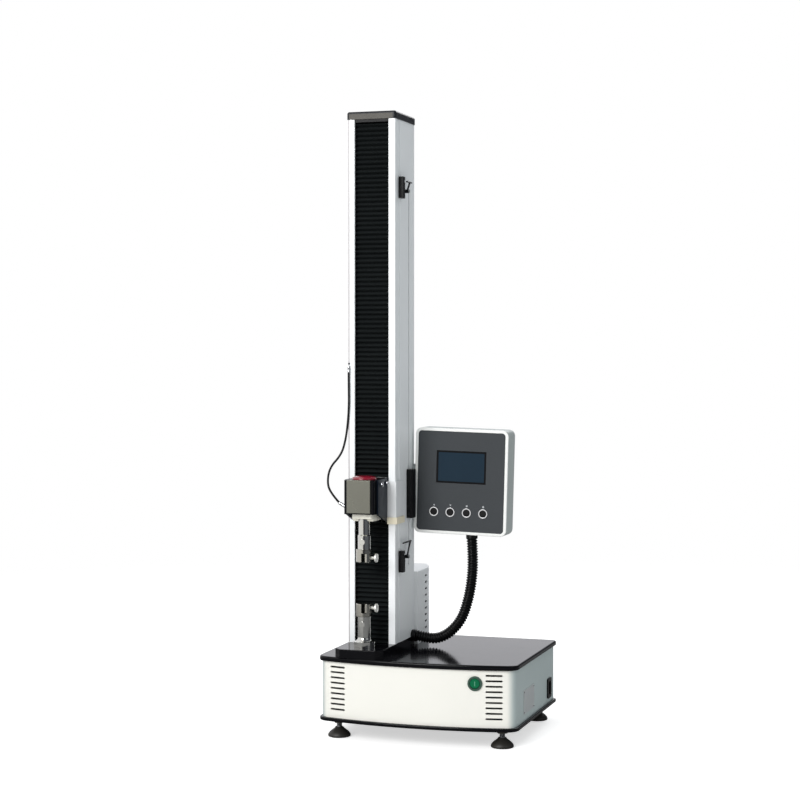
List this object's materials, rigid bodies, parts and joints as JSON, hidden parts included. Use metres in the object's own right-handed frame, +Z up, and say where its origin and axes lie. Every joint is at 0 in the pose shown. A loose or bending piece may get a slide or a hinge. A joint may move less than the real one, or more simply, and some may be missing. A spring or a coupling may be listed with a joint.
{
  "type": "universal testing machine",
  "caption": "Bench tensile tester: one column with a sliding crosshead behind pleated bellows, two screw grips, a drive base on levelling feet and a side control panel.",
  "frame": {"origin": "under the middle of the base, on the surface that it stands on", "axes": "+X to the right seen from the front, +Y towards the back, +Z up"},
  "size_m": [0.37, 0.33, 1.128],
  "materials": {
    "housing_white": "smooth cream-white powder coat",
    "column_white": "satin white powder coat on the folded column",
    "cover_white": "satin white powder coat on the rear cover",
    "gloss_black": "glossy black stove enamel",
    "cap_black": "moulded black plastic with a soft gloss",
    "black_plastic": "matte black moulded plastic",
    "foot_rubber": "black rubber-faced foot",
    "zinc_steel": "zinc-plated steel",
    "ground_steel": "ground bearing steel",
    "chrome": "polished nickel-chrome plate",
    "cast_aluminium": "machined aluminium",
    "arm_cream": "cream paint",
    "cover_black": "satin black paint",
    "gusset_blue": "dark blue-grey satin paint",
    "face_grey": "brushed and lacquered light metal",
    "button_red": "crimson plastic",
    "saddle_grey": "light grey paint on folded sheet",
    "bellows_black": "coated pleated fabric",
    "panel_white": "white moulded shell",
    "panel_grey": "dark grey printed overlay",
    "screen_glass": "dark switched-off display glass",
    "switch_green": "green translucent plastic",
    "bezel_grey": "grey plastic ring",
    "belt_rubber": "toothed rubber belt",
    "motor_black": "black painted motor body",
    "hose_black": "ribbed black conduit",
    "cable_black": "black cable sheath",
    "gland_metal": "nickel-plated glands"
  },
  "bodies": {
    "root": {"bottom_plate": "gloss_black", "housing": "housing_white", "deck": "gloss_black", "foot_nuts": "zinc_steel", "switch_bezel": "bezel_grey", "power_inlet": "black_plastic", "seat_plate": "gloss_black", "column": "column_white", "column_cap": "cap_black", "screw_bearings": "cast_aluminium", "guide_shafts": "ground_steel", "timing_belt": "belt_rubber", "motor": "motor_black", "motor_drive": "cast_aluminium", "rear_cover": "cover_white", "limit_switches": "black_plastic", "switch_plates": "zinc_steel", "lower_rod": "chrome", "lower_grip": "chrome", "panel_shell": "panel_white", "panel_face": "panel_grey", "screen": "screen_glass", "button_rings": "chrome", "panel_bracket": "zinc_steel", "glands": "gland_metal", "hose": "hose_black", "cable": "cable_black", "bellows_upper": "bellows_black", "bellows_lower": "bellows_black"},
    "crosshead": {"carriage": "cast_aluminium", "ball_nut": "ground_steel", "crosshead_arm": "arm_cream", "load_cell": "cast_aluminium", "crosshead_cover": "cover_black", "crosshead_face": "face_grey", "gusset_plates": "gusset_blue", "load_cap": "button_red", "saddle": "saddle_grey", "trigger": "black_plastic", "upper_rod": "chrome", "upper_grip": "chrome", "cable_plug": "gland_metal"},
    "screw": {"ball_screw": "ground_steel", "screw_pulley": "cast_aluminium"},
    "motor_shaft": {"motor_pulley": "cast_aluminium"},
    "upper_jaw": {"upper_jaw": "chrome"},
    "upper_knob": {"upper_knob": "zinc_steel"},
    "lower_jaw": {"lower_jaw": "chrome"},
    "lower_knob": {"lower_knob": "zinc_steel"},
    "lever_upper": {"lever_upper": "black_plastic"},
    "lever_lower": {"lever_lower": "black_plastic"},
    "rocker": {"power_rocker": "switch_green"},
    "foot_1": {"foot_1": "foot_rubber"},
    "button_1": {"button_1": "black_plastic"},
    "foot_2": {"foot_2": "foot_rubber"},
    "button_2": {"button_2": "black_plastic"},
    "foot_3": {"foot_3": "foot_rubber"},
    "button_3": {"button_3": "black_plastic"},
    "foot_4": {"foot_4": "foot_rubber"},
    "button_4": {"button_4": "black_plastic"}
  },
  "joints": [
    {"name": "crosshead_slide", "type": "slide", "parent": "root", "child": "crosshead", "axis": [0, 0, 1], "range_m": [-0.035, 0.507], "deforming": ["bellows_upper", "bellows_lower"]},
    {"name": "screw_turn", "type": "hinge", "parent": "root", "child": "screw", "pos_m": [-0.10375, 0, 0.6], "axis": [0, 0, 1], "range_deg": [-18254, 1262]},
    {"name": "motor_turn", "type": "hinge", "parent": "root", "child": "motor_shaft", "pos_m": [-0.10375, 0.1, 0.12], "axis": [0, 0, 1], "range_deg": [-18254, 1262]},
    {"name": "upper_jaw_slide", "type": "slide", "parent": "crosshead", "child": "upper_jaw", "axis": [-1, 0, 0], "range_m": [0, 0.0042]},
    {"name": "upper_knob_turn", "type": "hinge", "parent": "upper_jaw", "child": "upper_knob", "pos_m": [-0.08375, -0.1165, 0.325], "axis": [-1, 0, 0], "range_deg": [0, 1009]},
    {"name": "lower_jaw_slide", "type": "slide", "parent": "root", "child": "lower_jaw", "axis": [-1, 0, 0], "range_m": [0, 0.0042]},
    {"name": "lower_knob_turn", "type": "hinge", "parent": "lower_jaw", "child": "lower_knob", "pos_m": [-0.08375, -0.1165, 0.2351], "axis": [-1, 0, 0], "range_deg": [0, 1009]},
    {"name": "lever_upper_tilt", "type": "hinge", "parent": "root", "child": "lever_upper", "pos_m": [-0.05075, -0.032, 0.986], "axis": [1, 0, 0], "range_deg": [0, 20], "stiffness_Nm_per_rad": 0.05, "springref_deg": -5.73},
    {"name": "lever_lower_tilt", "type": "hinge", "parent": "root", "child": "lever_lower", "pos_m": [-0.05075, -0.032, 0.32], "axis": [1, 0, 0], "range_deg": [-20, 0], "stiffness_Nm_per_rad": 0.05, "springref_deg": 5.73},
    {"name": "rocker_tip", "type": "hinge", "parent": "root", "child": "rocker", "pos_m": [0.11182, -0.15041, 0.116], "axis": [0, 0, 1], "range_deg": [-7, 7]},
    {"name": "foot_1_turn", "type": "hinge", "parent": "root", "child": "foot_1", "pos_m": [-0.152, -0.116, 0.03], "axis": [0, 0, 1], "continuous": true},
    {"name": "foot_2_turn", "type": "hinge", "parent": "root", "child": "foot_2", "pos_m": [0.152, -0.116, 0.03], "axis": [0, 0, 1], "continuous": true},
    {"name": "foot_3_turn", "type": "hinge", "parent": "root", "child": "foot_3", "pos_m": [-0.152, 0.138, 0.03], "axis": [0, 0, 1], "continuous": true},
    {"name": "foot_4_turn", "type": "hinge", "parent": "root", "child": "foot_4", "pos_m": [0.152, 0.138, 0.03], "axis": [0, 0, 1], "continuous": true},
    {"name": "button_1_press", "type": "slide", "parent": "root", "child": "button_1", "axis": [0, 1, 0], "range_m": [0, 0.0015], "stiffness_N_per_m": 400},
    {"name": "button_2_press", "type": "slide", "parent": "root", "child": "button_2", "axis": [0, 1, 0], "range_m": [0, 0.0015], "stiffness_N_per_m": 400},
    {"name": "button_3_press", "type": "slide", "parent": "root", "child": "button_3", "axis": [0, 1, 0], "range_m": [0, 0.0015], "stiffness_N_per_m": 400},
    {"name": "button_4_press", "type": "slide", "parent": "root", "child": "button_4", "axis": [0, 1, 0], "range_m": [0, 0.0015], "stiffness_N_per_m": 400}
  ],
  "couplings": [
    {"joint": "screw_turn", "follows": "crosshead_slide", "rad_per_m": -628.32},
    {"joint": "motor_turn", "follows": "crosshead_slide", "rad_per_m": -628.32},
    {"joint": "upper_knob_turn", "follows": "upper_jaw_slide", "rad_per_m": 4188.8},
    {"joint": "lower_knob_turn", "follows": "lower_jaw_slide", "rad_per_m": 4188.8}
  ]
}
